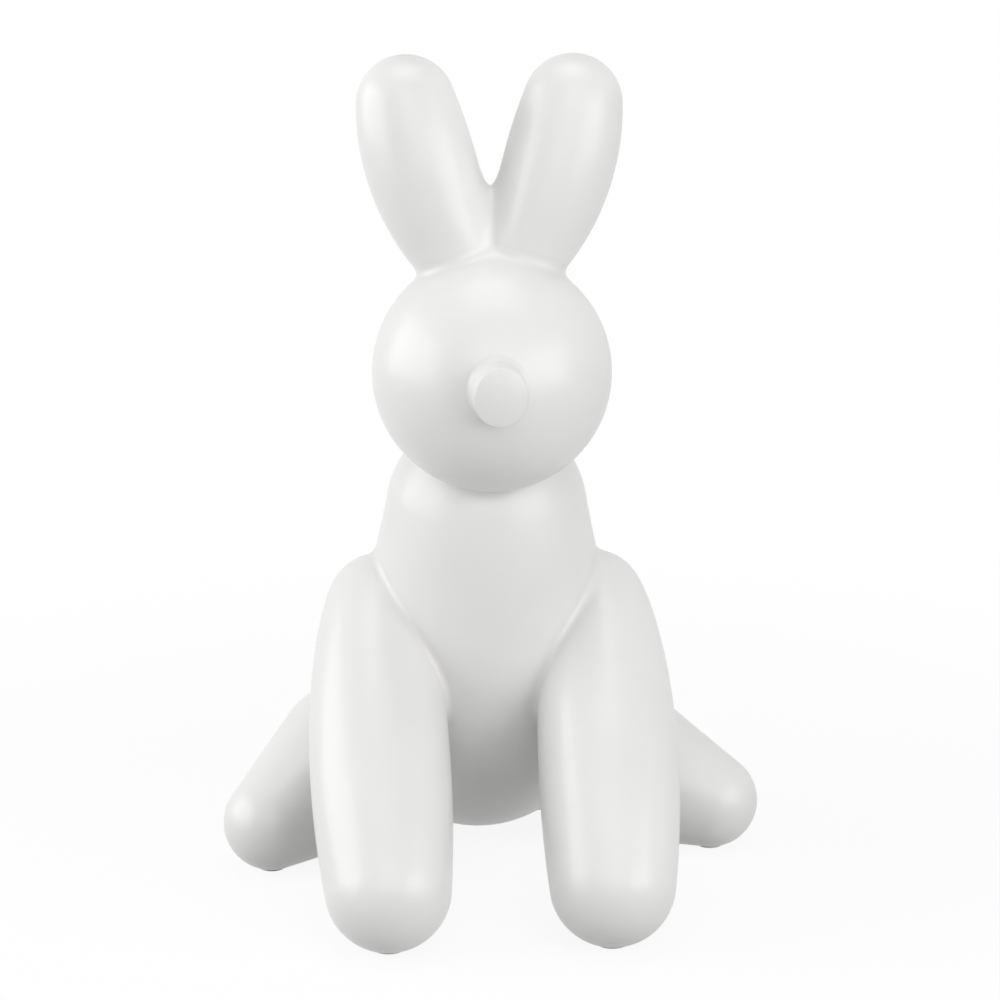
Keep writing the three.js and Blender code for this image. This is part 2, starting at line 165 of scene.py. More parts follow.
class OrnamentSizes(bpy.types.PropertyGroup):
    """Sizes of the castings. Spots are measured from the floor midway between the front feet."""

    neck_end: spot("Neck end", "Middle of the torso's ball at the neck", (0, 0.073, 0.1345))
    torso_bend: spot("Torso bend", "Point that the torso's centre line bends towards", (0, 0.0785, 0.0683))
    torso_radii: radii(
        "Torso radii", "From the neck to the rump, evenly spaced", (0.0352, 0.0433, 0.0473, 0.038)
    )
    nose_seat_turn: angle("Nose seat turn", "How far the nose sits to the animal's left", -0.9)
    nose_seat_rise: angle("Nose seat rise", "How far the nose sits above the head's middle", 2.5)
    nose_turn: angle("Nose turn", "How far the nose points to the animal's left", 3.3)
    nose_rise: angle("Nose rise", "How far the nose points above level", -3)
    nose_half_width: length("Nose half width", "Half of the oval nose's width", 0.0089)
    nose_half_height: length("Nose half height", "Half of the oval nose's height", 0.01015)
    nose_length: length("Nose length", "From the head's surface to the edge of the nose's end", 0.008)
    nose_rim: length("Nose rim", "Radius of the edge of the nose's end", 0.0007)
    nose_crown: length("Nose crown", "How far the nose's end is domed", 0.0015)
    ear_splay: angle("Ear splay", "How far each ear leans out", 17.3)
    ear_tilt: angle("Ear tilt", "How far the ears lean back", 8)
    ear_length: length("Ear length", "Between the middles of an ear's end balls", 0.05)
    ear_sink: length("Ear sink", "How far an ear goes into the head", 0.0104)
    ear_bow: length("Ear bow", "How far an ear's centre line bends out", 0.003)
    ear_radii: radii("Ear radii", "From the base to the tip, evenly spaced", (0.0142, 0.0187, 0.0168))
    front_bend: spot(
        "Front leg bend", "Point that the left front leg bends towards", (0.0413, 0.0605, 0.0874)
    )
    front_radii: radii("Front leg radii", "From the foot to the shoulder", (0.0215, 0.0241, 0.0187))
    shoulder_station: share("Shoulder station", "How far down the torso the shoulders are", 0.26)
    shoulder_forward: angle("Shoulder forward", "How far the shoulders turn to the front", 5.95)
    shoulder_drop: angle("Shoulder drop", "How far the shoulders turn down", 5.55)
    shoulder_sink: length("Shoulder sink", "How far a front leg goes into the torso", 0.0224)
    hind_radii: radii("Hind leg radii", "At the foot and the hip", (0.0172, 0.0298))
    hip_station: share("Hip station", "How far down the torso the hips are", 0.8)
    hip_forward: angle("Hip forward", "How far the hips turn to the front", 4.9)
    hip_drop: angle("Hip drop", "How far the hips turn down", 24.5)
    hip_sink: length("Hip sink", "How far a hind leg goes into the torso", 0.0249)
    tail_station: share("Tail station", "How far down the torso the tail is", 0.82)
    tail_rise: angle("Tail rise", "How far the tail points above level", 25)
    tail_length: length("Tail length", "Between the middles of the tail's end balls", 0.012)
    tail_sink: length("Tail sink", "How far the tail goes into the torso", 0.005)
    tail_radii: radii("Tail radii", "At the base and the tip", (0.008, 0.0105))
    neck_fillet: length("Neck fillet", "Filler between head and torso", 0.0012)
    nose_fillet: length("Nose fillet", "Filler between nose and head", 0.0021)
    ear_fillet: length("Ear fillet", "Filler between an ear and the head", 0.004)
    ear_web: length("Ear web", "Filler between the two ears", 0.0084)
    leg_fillet: length("Leg fillet", "Filler between a leg and the torso", 0.003)
    tail_fillet: length("Tail fillet", "Filler between tail and torso", 0.0025)
    pad_rim: length("Pad rim", "Radius of a felt pad's edge", 0.0003)


class OrnamentFinishes(bpy.types.PropertyGroup):
    """Colours of the finishes, and how far the painted shade in the creases reaches."""

    lacquer: colour("Lacquer", "White lacquer", (0.82, 0.82, 0.81))
    lacquer_shade: colour("Lacquer shade", "Lacquer where the coat is thin", (0.79, 0.79, 0.775))
    # Painted shade: a darker, warmer lacquer colour near the creases, where shade falls, and how far from a
    # crease it reaches
    painted_crease_shade: colour("Crease shade", "Lacquer that has pooled in the creases", (0.76, 0.755, 0.74))
    painted_crease_shade_reach: length("Crease reach", "How far from a crease the lacquer pools", 0.006)
    felt: colour("Felt", "Pads under the feet", (0.78, 0.77, 0.74))
    felt_shade: colour("Felt shade", "Darker fibres in the felt", (0.68, 0.67, 0.64))
    steel: colour("Steel", "Pins and the neck's tube", (0.56, 0.57, 0.58))
    steel_shade: colour("Steel shade", "Draw marks on the steel", (0.42, 0.43, 0.44))
    rubber: colour("Rubber", "Plug of the casting's vent", (0.62, 0.61, 0.59))
    rubber_shade: colour("Rubber shade", "Bloom on the rubber", (0.54, 0.53, 0.51))


class OrnamentStudio(bpy.types.PropertyGroup):
    """Camera, lamps and floor."""

    camera_spot: spot("Camera spot", "Measured as the castings' spots are", (-0.0778, -1.1375, 0.4403))
    camera_turn: angle("Camera turn", "How far the camera turns to the right", 3.9)
    camera_tilt: angle("Camera tilt", "How far the camera looks down", 14)
    camera_lens: FloatProperty(
        name="Camera lens", description="Focal length", default=128.7, unit="CAMERA"
    )
    left_power: strength("Left softbox", "Power of the softbox on the viewer's left", 10)
    right_power: strength("Right softbox", "Power of the softbox on the viewer's right", 6.5)
    top_power: strength("Top softbox", "Power of the softbox above", 3.9)
    front_power: strength("Front softbox", "Power of the fill over the camera", 2.7)
    room: strength("Room", "Light from all round", 0.28)
    floor: colour("Floor", "How the pale floor tints the light that it throws back", (0.5, 0.5, 0.5))
    floor_glow: share("Floor glow", "How much of the floor's white is glow near the ornament", 0.9)
    shadow_start: length("Shadow start", "Distance from the middle where the shadow begins to fade", 0.15)
    shadow_end: length("Shadow end", "Distance from the middle where the floor is all white", 0.5)


# Places in the frame


def middle_of(node):
    low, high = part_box(node)
    return (low + high) / 2


def datum():
    """The front feet's line on the floor, on the plane between left and right."""
    left = middle_of("foot_pad_front_left")
    right = middle_of("foot_pad_front_right")
    return Vector(((left.x + right.x) / 2, left.y, 0))


def placed(offset, side=1):
    return datum() + Vector((side * offset[0], offset[1], offset[2]))


def nodes_in(slot):
    """The nodes that the record lists under a material slot."""
    return [part["node"] for part in frame["record"]["subparts"] if part["material_slot"] == slot]


def flat_height():
    """Height of the ground flats under the feet, where the felt is glued on."""
    return max(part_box("torso")[0].z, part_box("rump_pad")[1].z)


# Shapes that the castings follow


class Ball:
    """A round bubble."""

    def __init__(self, centre, radius):
        self.centre = np.array(centre)
        self.radius = radius

    def distance(self, points):
        """How far each point lies outside the surface, and the direction away from it."""
        away = points - self.centre
        far = np.linalg.norm(away, axis=1)
        return far - self.radius, away / np.maximum(far, TINY)[:, None]


class Stub:
    """The side of a straight oval stub."""

    def __init__(self, place, half_width, half_height):
        self.foot = np.array(place.translation)
        self.across = np.array(place.col[0].to_3d()) / half_width
        self.up = np.array(place.col[1].to_3d()) / half_height

    def distance(self, points):
        """How far each point lies outside the side, about, and the direction away from it."""
        offset = points - self.foot
        across = offset @ self.across
        up = offset @ self.up
        ring = np.maximum(np.hypot(across, up), TINY)[:, None]
        slope = (across[:, None] * self.across + up[:, None] * self.up) / ring
        steep = np.maximum(np.linalg.norm(slope, axis=1, keepdims=True), TINY)
        return ((ring - 1) / steep)[:, 0], slope / steep


class Lobe:
    """A long bubble: a ball that slides along a bent line while its radius changes."""

    def __init__(self, start, bend, end, ball_radii):
        start, bend, end = np.array(start), np.array(bend), np.array(end)
        step = np.linspace(0, 1, LINE_STEPS)[:, None]
        self.line = (1 - step) ** 2 * start + 2 * step * (1 - step) * bend + step**2 * end
        travel = np.linalg.norm(np.diff(self.line, axis=0), axis=1).cumsum()
        self.length = travel[-1]
        self.shares = np.insert(travel, 0, 0) / self.length
        stations = np.linspace(0, 1, len(ball_radii))
        curve = np.polynomial.Polynomial.fit(stations, ball_radii, len(ball_radii) - 1)
        self.radii = curve(self.shares)
        self.chord = Vector(end - start).normalized()

    def centre(self, shares):
        return np.stack([np.interp(shares, self.shares, self.line[:, axis]) for axis in range(3)], -1)

    def radius(self, shares):
        return np.interp(shares, self.shares, self.radii)

    def distance(self, points):
        """How far each point lies outside the surface, and the direction away from it."""
        # The nearest step of the line, moved to the low point of a parabola through it and the next ones
        squares = (points**2).sum(1)[:, None] - 2 * points @ self.line.T + (self.line**2).sum(1)
        gaps = np.sqrt(np.maximum(squares, 0)) - self.radii
        best = gaps.argmin(1).clip(1, LINE_STEPS - 2)
        rows = np.arange(len(points))
        before = gaps[rows, best - 1]
        after = gaps[rows, best + 1]
        curve = np.maximum(before - 2 * gaps[rows, best] + after, TINY)
        place = best + np.clip((before - after) / (2 * curve), -1, 1)
        shares = np.interp(place, np.arange(LINE_STEPS), self.shares)
        away = points - self.centre(shares)
        far = np.linalg.norm(away, axis=1)
        return far - self.radius(shares), away / np.maximum(far, TINY)[:, None]


class Pair:
    """Two bubbles that run into each other with a web between them."""

    def __init__(self, first, second, web):
        self.first = first
        self.second = second
        self.web = web

    def distance(self, points):
        """How far each point lies outside the webbed surface, and the slope away from it."""
        near, near_away = self.first.distance(points)
        far, far_away = self.second.distance(points)
        overlap = np.maximum(1 - np.abs(near - far) / self.web, 0)
        weight = np.where(near < far, 1 - overlap / 2, overlap / 2)[:, None]
        depth = np.minimum(near, far) - overlap**2 * self.web / 4
        return depth, weight * near_away + (1 - weight) * far_away


def torso_lobe(sizes):
    rump = middle_of("rump_pad")
    return Lobe(
        placed(sizes.neck_end),
        placed(sizes.torso_bend),
        (rump.x, rump.y, sizes.torso_radii[3]),
        sizes.torso_radii,
    )


def head_ball():
    """The head's box is whole at the sides, the top and the back."""
    low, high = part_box("head")
    radius = (high.x - low.x) / 2
    return Ball(((low.x + high.x) / 2, high.y - radius, high.z - radius), radius)


def forwards(turn, rise):
    """To the front, turned towards the animal's left and raised, with Y turned up and Z to the front."""
    return Matrix.Rotation(turn, 4, "Z") @ Matrix.Rotation(math.pi / 2 - rise, 4, "X")


def nose_place(sizes):
    """Where the nose stands on the head."""
    head = head_ball()
    foot = forwards(sizes.nose_seat_turn, sizes.nose_seat_rise) @ Vector((0, 0, head.radius))
    return Matrix.Translation(Vector(head.centre) + foot) @ forwards(sizes.nose_turn, sizes.nose_rise)


def ear_lobe(sizes, side):
    head = head_ball()
    up = math.cos(sizes.ear_splay)
    axis = Vector(
        (side * math.sin(sizes.ear_splay), up * math.sin(sizes.ear_tilt), up * math.cos(sizes.ear_tilt))
    )
    base = Vector(head.centre) + axis * (head.radius + sizes.ear_radii[0] - sizes.ear_sink)
    tip = base + axis * sizes.ear_length
    bend = (base + tip) / 2 + Vector((side * sizes.ear_bow, 0, 0))
    return Lobe(base, bend, tip, sizes.ear_radii)


def on_torso(sizes, station, axis, radius, sink):
    """Middle of a limb's end ball that is sunk into the torso's side."""
    torso = torso_lobe(sizes)
    return Vector(torso.centre(station)) + axis * (torso.radius(station) + radius - sink)


def sideways(side, forward, drop):
    level = math.cos(drop)
    return Vector((side * level * math.cos(forward), -level * math.sin(forward), -math.sin(drop)))


def front_leg_lobe(sizes, side, name):
    pad = middle_of(f"foot_pad_front_{name}")
    axis = sideways(side, sizes.shoulder_forward, sizes.shoulder_drop)
    shoulder = on_torso(
        sizes, sizes.shoulder_station, axis, sizes.front_radii[2], sizes.shoulder_sink
    )
    foot = (pad.x, pad.y, sizes.front_radii[0])
    return Lobe(foot, placed(sizes.front_bend, side), shoulder, sizes.front_radii)


def hind_leg_lobe(sizes, side, name):
    pad = middle_of(f"foot_pad_hind_{name}")
    axis = sideways(side, sizes.hip_forward, sizes.hip_drop)
    hip = on_torso(sizes, sizes.hip_station, axis, sizes.hind_radii[1], sizes.hip_sink)
    foot = Vector((pad.x, pad.y, sizes.hind_radii[0]))
    return Lobe(foot, (foot + hip) / 2, hip, sizes.hind_radii)


def tail_lobe(sizes):
    axis = Vector((0, math.cos(sizes.tail_rise), math.sin(sizes.tail_rise)))
    base = on_torso(sizes, sizes.tail_station, axis, sizes.tail_radii[0], sizes.tail_sink)
    tip = base + axis * sizes.tail_length
    return Lobe(base, (base + tip) / 2, tip, sizes.tail_radii)


# Meshes


def positions(verts):
    return np.array([vert.co for vert in verts])


def move(verts, points):
    for vert, point in zip(verts, points):
        vert.co = point


def turned(outline, steps):
    """A lathe piece about Z, from points that run from one end of the axis to the other."""
    mesh = bmesh.new()
    verts = [mesh.verts.new((out, 0, up)) for out, up in outline]
    edges = [mesh.edges.new(pair) for pair in zip(verts, verts[1:])]
    bmesh.ops.spin(
        mesh,
        geom=verts + edges,
        cent=(0, 0, 0),
        axis=(0, 0, 1),
        angle=math.tau,
        steps=steps,
        use_merge=True,
    )
    bmesh.ops.remove_doubles(mesh, verts=mesh.verts, dist=MERGE_DISTANCE)
    bmesh.ops.recalc_face_normals(mesh, faces=mesh.faces)
    return mesh


def around(radius, spacing):
    return round(math.tau * radius / spacing)


def arc(middle_out, middle_up, radius, first, last, spacing):
    """Points along a round stretch of an outline, between two angles above level."""
    count = max(round(abs(last - first) * radius / spacing), 2)
    return [
        (middle_out + radius * math.cos(turn), middle_up + radius * math.sin(turn))
        for turn in np.linspace(first, last, count + 1)
    ]


def settled(points, shape, height=0):
    """The points, moved straight onto a shape's surface or to a height over it."""
    for _ in range(SETTLE_ROUNDS):
        gap, away = shape.distance(points)
        points = points - ((gap - height) / (away**2).sum(1))[:, None] * away
    return points


def lobe_mesh(lobe):
    """A straight lathe lobe that is laid along the lobe's line and then settled on its surface."""
    first, last = lobe.radius(0), lobe.radius(1)
    rings = round(lobe.length / SPACING)
    sides = [(lobe.radius(ring / rings), lobe.length * ring / rings) for ring in range(1, rings)]
    outline = [
        (0, -first),
        *arc(0, 0, first, -math.pi / 2, 0, SPACING)[1:],
        *sides,
        *arc(0, lobe.length, last, 0, math.pi / 2, SPACING)[:-1],
        (0, lobe.length + last),
    ]
    mesh = turned(outline, around(lobe.radii.max(), SPACING))
    points = positions(mesh.verts)
    shares = np.clip(points[:, 2] / lobe.length, 0, 1)
    past = points[:, 2] - shares * lobe.length
    turn = np.array(Vector((0, 0, 1)).rotation_difference(lobe.chord).to_matrix())
    points = np.column_stack([points[:, 0], points[:, 1], past]) @ turn.T + lobe.centre(shares)
    move(mesh.verts, settled(points, lobe))
    return mesh


def nose_outline(sizes):
    """Half of a round stub's section, from its root in the head to the crown of its end."""
    radius = sizes.nose_half_width
    flat = radius - sizes.nose_rim
    shoulder = sizes.nose_length - sizes.nose_rim
    root = HEM_LAP * sizes.nose_fillet + NOSE_ROOT_SHARE * sizes.nose_half_height
    rise = shoulder + root
    side_rings = round(rise / FINE_SPACING)
    crown_rings = round(flat / FINE_SPACING)
    outline = [
        (0, -root),
        *[(radius, rise * ring / side_rings - root) for ring in range(side_rings)],
        *arc(flat, shoulder, sizes.nose_rim, 0, math.pi / 2, FINE_SPACING),
    ]
    for ring in range(1, crown_rings + 1):
        out = flat * (1 - ring / crown_rings)
        outline.append((out, sizes.nose_length + sizes.nose_crown * (1 - (out / flat) ** 2)))
    return outline


def refine(mesh, own, other, size, spacing):
    """Gives the surface near a neighbour enough points for a fillet."""
    cuts = round(FILLET_STEPS * spacing / size) - 1
    if cuts < 1:
        return
    depth = other.distance(positions(mesh.verts))[0]
    band = np.abs(depth) < 2 * size + spacing
    edges = [edge for edge in mesh.edges if all(band[vert.index] for vert in edge.verts)]
    made = bmesh.ops.subdivide_edges(mesh, edges=edges, cuts=cuts, use_grid_fill=True)
    verts = [item for item in made["geom_inner"] if isinstance(item, bmesh.types.BMVert)]
    move(verts, settled(positions(verts), own))
    mesh.verts.index_update()


def fillet(mesh, own, other, size, spacing=SPACING):
    """Lays the surface near a neighbour on a smooth fillet, with its hem just under the neighbour."""
    refine(mesh, own, other, size, spacing)
    points = positions(mesh.verts)
    depth = other.distance(points)[0]
    near = (depth < size) & (depth > -HEM_LAP * size)
    depth = depth[near]
    # How far each point is to end up from its own surface and from the neighbour's
    low = np.maximum(size - np.abs(depth), 0) ** 2 / (4 * size)
    high = low + np.abs(depth)
    own_goal = np.where(depth > 0, low, high)
    other_goal = np.where(depth > 0, high, low - HEM_DEPTH * np.clip(-depth / size, 0, 1))
    moved = points[near]
    # Steps along both surfaces' directions that make up what is missing, none longer than the fillet
    for _ in range(FILLET_ROUNDS):
        own_gap, own_away = own.distance(moved)
        other_gap, other_away = other.distance(moved)
        own_miss = own_goal - own_gap
        other_miss = other_goal - other_gap
        own_square = (own_away**2).sum(1)
        other_square = (other_away**2).sum(1)
        shared = (own_away * other_away).sum(1)
        spread = np.maximum(own_square * other_square - shared**2, LEAST_SPREAD)
        own_step = (other_square * own_miss - shared * other_miss) / spread
        other_step = (own_square * other_miss - shared * own_miss) / spread
        step = own_step[:, None] * own_away + other_step[:, None] * other_away
        stride = np.linalg.norm(step, axis=1, keepdims=True)
        moved = moved + step * np.minimum(1, size / np.maximum(stride, TINY))
    points[near] = moved
    move(mesh.verts, points)


def seat(mesh, other):
    """Ends a root in a seat that follows its neighbour's surface."""
    points = positions(mesh.verts)
    sunk = other.distance(points)[0] < -SEAT_DEPTH
    points[sunk] = settled(points[sunk], other, -SEAT_DEPTH)
    move(mesh.verts, points)


def cut(mesh, point, outward):
    """Cuts off what lies past a plane and closes the cut."""
    geom = [*mesh.verts, *mesh.edges, *mesh.faces]
    bmesh.ops.bisect_plane(
        mesh, geom=geom, dist=MERGE_DISTANCE, plane_co=point, plane_no=outward, clear_outer=True
    )
    rim = [edge for edge in mesh.edges if edge.is_boundary]
    bmesh.ops.holes_fill(mesh, edges=rim, sides=0)


def grind_flat(mesh):
    cut(mesh, (0, 0, flat_height()), (0, 0, -1))


def mark_creases(mesh, own, neighbours):
    """Keeps how far each point lies from the nearest crease, with its lift off its own surface added, for
    the lacquer's painted crease shade.
    """
    points = positions(mesh.verts)
    gaps = np.min([neighbour.distance(points)[0] for neighbour in neighbours], axis=0)
    gaps = np.maximum(gaps, 0) + np.maximum(own.distance(points)[0], 0)
    layer = mesh.verts.layers.float.new("crease_gap")
    for vert, gap in zip(mesh.verts, gaps):
        vert[layer] = gap


def add_piece(name, mesh, material, node):
    """Puts a finished mesh in the scene in place of its plain solid."""
    for face in mesh.faces:
        face.smooth = True
    for edge in mesh.edges:
        edge.smooth = edge.calc_face_angle(0) < SHARP_ANGLE
    data = bpy.data.meshes.new(name)
    mesh.to_mesh(data)
    mesh.free()
    data.materials.append(material)
    piece = bpy.data.objects.new(name, data)
    bpy.context.scene.collection.objects.link(piece)
    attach(piece, "root")
    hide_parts(node)
    return piece


def add_casting(node, mesh, own, neighbours):
    mark_creases(mesh, own, neighbours)
    add_piece(f"{node}_casting", mesh, lacquer_material(), node)


def add_leg(node, leg, torso, filler):
    """A leg's casting, with its filler and its seat on the torso and a flat under its foot."""
    mesh = lobe_mesh(leg)
    fillet(mesh, leg, torso, filler)
    seat(mesh, torso)
    grind_flat(mesh)
    add_casting(node, mesh, leg, [torso])


# Shader groups that the finishes share


def new_group(name, inputs, outputs):
    """An empty shader group with named sockets, its input node and its output node."""
    group = bpy.data.node_groups.new(name, "ShaderNodeTree")
    for socket, kind, default in inputs:
        group.interface.new_socket(socket, in_out="INPUT", socket_type=kind).default_value = default
    for socket, kind in outputs:
        group.interface.new_socket(socket, in_out="OUTPUT", socket_type=kind)
    return group, group.nodes.new("NodeGroupInput"), group.nodes.new("NodeGroupOutput")


def mottle_group():
    """Soft patches: a colour between two, and a value between two."""
    if "mottle" in bpy.data.node_groups:
        return bpy.data.node_groups["mottle"]
    group, given, made = new_group(
        "mottle",
        [
            ("Scale", "NodeSocketFloat", 20.0),
            ("Colour", "NodeSocketColor", (1, 1, 1, 1)),
            ("Shade", "NodeSocketColor", (1, 1, 1, 1)),
            ("Low", "NodeSocketFloat", 0.0),
            ("High", "NodeSocketFloat", 1.0),
        ],
        [("Colour", "NodeSocketColor"), ("Value", "NodeSocketFloat")],
    )
    place = group.nodes.new("ShaderNodeTexCoord")
    noise = group.nodes.new("ShaderNodeTexNoise")
    noise.inputs["Detail"].default_value = 4
    spread = group.nodes.new("ShaderNodeMapRange")
    spread.inputs["From Min"].default_value = 0.3
    spread.inputs["From Max"].default_value = 0.7
    mix = group.nodes.new("ShaderNodeMix")
    mix.data_type = "RGBA"
    value = group.nodes.new("ShaderNodeMapRange")
    link = group.links.new
    link(place.outputs["Object"], noise.inputs["Vector"])
    link(given.outputs["Scale"], noise.inputs["Scale"])
    link(noise.outputs["Fac"], spread.inputs["Value"])
    link(spread.outputs["Result"], mix.inputs["Factor"])
    link(given.outputs["Colour"], mix.inputs["A"])
    link(given.outputs["Shade"], mix.inputs["B"])
    link(spread.outputs["Result"], value.inputs["Value"])
    link(given.outputs["Low"], value.inputs["To Min"])
    link(given.outputs["High"], value.inputs["To Max"])
    link(mix.outputs["Result"], made.inputs["Colour"])
    link(value.outputs["Result"], made.inputs["Value"])
    return group


def relief_group():
    """Fine height of a finish: broad waves with a finer grain on them."""
    if "relief" in bpy.data.node_groups:
        return bpy.data.node_groups["relief"]
    group, given, made = new_group(
        "relief",
        [
            ("Wave Scale", "NodeSocketFloat", 100.0),
            ("Grain Scale", "NodeSocketFloat", 800.0),
            ("Grain Share", "NodeSocketFloat", 0.3),
        ],
        [("Height", "NodeSocketFloat")],
    )
    place = group.nodes.new("ShaderNodeTexCoord")
    waves = group.nodes.new("ShaderNodeTexNoise")
    grain = group.nodes.new("ShaderNodeTexNoise")
    waves.inputs["Detail"].default_value = 1
    grain.inputs["Detail"].default_value = 3
    add = group.nodes.new("ShaderNodeMath")
    add.operation = "MULTIPLY_ADD"
    link = group.links.new
    link(place.outputs["Object"], waves.inputs["Vector"])
    link(place.outputs["Object"], grain.inputs["Vector"])
    link(given.outputs["Wave Scale"], waves.inputs["Scale"])
    link(given.outputs["Grain Scale"], grain.inputs["Scale"])
    link(grain.outputs["Fac"], add.inputs[0])
    link(given.outputs["Grain Share"], add.inputs[1])
    link(waves.outputs["Fac"], add.inputs[2])
    link(add.outputs["Value"], made.inputs["Height"])
    return group


# Finishes


def opaque(tint):
    return (*tint, 1)


def new_finish(name):
    material = bpy.data.materials.new(name)
    material.use_nodes = True
    return material, material.node_tree, material.node_tree.nodes["Principled BSDF"]


def place_group(tree, group, values):
    node = tree.nodes.new("ShaderNodeGroup")
    node.node_tree = group
    for socket, value in values.items():
        node.inputs[socket].default_value = value
    return node


def add_relief(tree, shader, wave_scale, grain_scale, grain_share, height):
    """Fine bumps in a finish."""
    values = {"Wave Scale": wave_scale, "Grain Scale": grain_scale, "Grain Share": grain_share}
    relief = place_group(tree, relief_group(), values)
    bump = tree.nodes.new("ShaderNodeBump")
    bump.inputs["Strength"].default_value = 1
    bump.inputs["Distance"].default_value = height
    tree.links.new(relief.outputs["Height"], bump.inputs["Height"])
    tree.links.new(bump.outputs["Normal"], shader.inputs["Normal"])


def add_mottle(tree, shader, tint, shade, scale, roughness):
    """Patches of colour and gloss. Returns the node, so that a finish can add to its colour."""
    low, high = roughness
    values = {"Scale": scale, "Colour": opaque(tint), "Shade": opaque(shade), "Low": low, "High": high}
    mottle = place_group(tree, mottle_group(), values)
    tree.links.new(mottle.outputs["Colour"], shader.inputs["Base Color"])
    tree.links.new(mottle.outputs["Value"], shader.inputs["Roughness"])
    return mottle


def lacquer_material():
    """Gloss white lacquer with a slight orange peel, and painted shade that makes it a little darker and
    warmer in the creases.
    """
    if "white_lacquer" in bpy.data.materials:
        return bpy.data.materials["white_lacquer"]
    finishes = bpy.context.scene.ornament_finishes
    material, tree, shader = new_finish("white_lacquer")
    mottle = add_mottle(
        tree, shader, finishes.lacquer, finishes.lacquer_shade, scale=28, roughness=(0.34, 0.4)
    )
    # Painted shade: near a crease the lacquer's colour is mixed towards a darker, warmer tint
    gap = tree.nodes.new("ShaderNodeAttribute")
    gap.attribute_name = "crease_gap"
    painted_shade_mask = tree.nodes.new("ShaderNodeMapRange")
    painted_shade_mask.interpolation_type = "SMOOTHSTEP"
    painted_shade_mask.inputs["From Min"].default_value = 0
    painted_shade_mask.inputs["From Max"].default_value = finishes.painted_crease_shade_reach
    painted_shade_mask.inputs["To Min"].default_value = 1
    painted_shade_mask.inputs["To Max"].default_value = 0
    mix = tree.nodes.new("ShaderNodeMix")
    mix.data_type = "RGBA"
    mix.inputs["B"].default_value = opaque(finishes.painted_crease_shade)
    tree.links.new(gap.outputs["Fac"], painted_shade_mask.inputs["Value"])
    tree.links.new(painted_shade_mask.outputs["Result"], mix.inputs["Factor"])
    tree.links.new(mottle.outputs["Colour"], mix.inputs["A"])
    tree.links.new(mix.outputs["Result"], shader.inputs["Base Color"])
    shader.inputs["Coat Weight"].default_value = 0.15
    shader.inputs["Coat Roughness"].default_value = 0.15
    add_relief(tree, shader, wave_scale=70, grain_scale=900, grain_share=0.06, height=0.00006)
    return material


def felt_material():
    """Pressed felt: matte, flecked and fuzzy."""
    finishes = bpy.context.scene.ornament_finishes
    material, tree, shader = new_finish("pad_felt")
    add_mottle(tree, shader, finishes.felt, finishes.felt_shade, scale=1400, roughness=(0.88, 1))
    shader.inputs["Sheen Weight"].default_value = 0.3
    add_relief(tree, shader, wave_scale=900, grain_scale=3500, grain_share=0.8, height=0.00025)
    return material


def steel_material():
    """Drawn steel rod."""
    finishes = bpy.context.scene.ornament_finishes
    material, tree, shader = new_finish("pin_steel")
    add_mottle(tree, shader, finishes.steel, finishes.steel_shade, scale=260, roughness=(0.28, 0.42))
    shader.inputs["Metallic"].default_value = 1
    add_relief(tree, shader, wave_scale=600, grain_scale=4000, grain_share=0.4, height=0.00003)
    return material


def rubber_material():
    """Moulded rubber with a dull bloom."""
    finishes = bpy.context.scene.ornament_finishes
    material, tree, shader = new_finish("plug_rubber")
    add_mottle(tree, shader, finishes.rubber, finishes.rubber_shade, scale=320, roughness=(0.6, 0.75))
    add_relief(tree, shader, wave_scale=500, grain_scale=3000, grain_share=0.5, height=0.00008)
    return material


# Studio


def seen_directly(tree):
    """A value that is 1 for the camera and for what gloss and glass show, and 0 for other light."""
    path = tree.nodes.new("ShaderNodeLightPath")
    first = tree.nodes.new("ShaderNodeMath")
    first.operation = "MAXIMUM"
    second = tree.nodes.new("ShaderNodeMath")
    second.operation = "MAXIMUM"
    tree.links.new(path.outputs["Is Camera Ray"], first.inputs[0])
    tree.links.new(path.outputs["Is Glossy Ray"], first.inputs[1])
    tree.links.new(first.outputs["Value"], second.inputs[0])
    tree.links.new(path.outputs["Is Transmission Ray"], second.inputs[1])
    return second.outputs["Value"]


